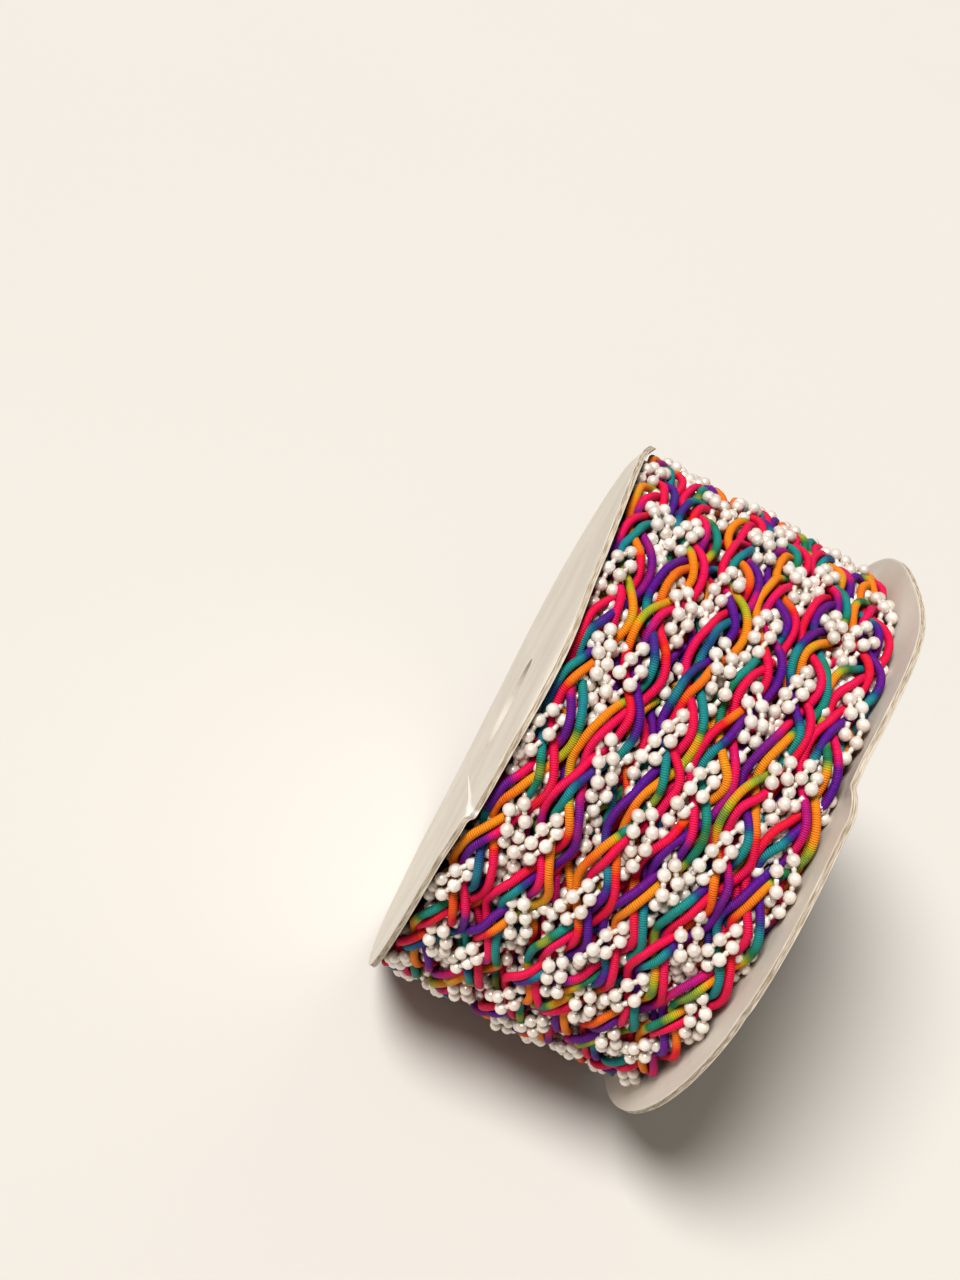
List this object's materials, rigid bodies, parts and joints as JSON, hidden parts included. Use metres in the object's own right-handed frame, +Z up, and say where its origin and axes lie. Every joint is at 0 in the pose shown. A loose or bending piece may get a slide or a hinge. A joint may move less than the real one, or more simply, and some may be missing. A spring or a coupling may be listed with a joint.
{
  "type": "plaited pearl and gimp cord trim wound on a card reel",
  "caption": "Narrow plaited trim of coloured gimp cords and pearl chains, wound on a card reel with a bored tube and two round flanges.",
  "frame": {"origin": "on the surface the reel stands on, under its axis and midway between its two ends", "axes": "+X along the reel's axis to the flange on the right of the picture, +Z up, -Y to the front"},
  "size_m": [0.0608, 0.127, 0.1264],
  "materials": {
    "gimp": "satin viscose thread wrapped round a soft core, dyed in bands of pink, red, orange, yellow, green, teal, blue and purple",
    "pearl": "moulded chain of round imitation pearls, creamy white with a soft pearl lustre",
    "card": "white-lined grey card, smooth and a little scuffed, with bare fibrous edges",
    "tube_board": "spiral-wound kraft board"
  },
  "bodies": {
    "root": {"flange_left": "card", "flange_right": "card", "core_tube": "tube_board", "wound_trim": "gimp"}
  },
  "joints": []
}
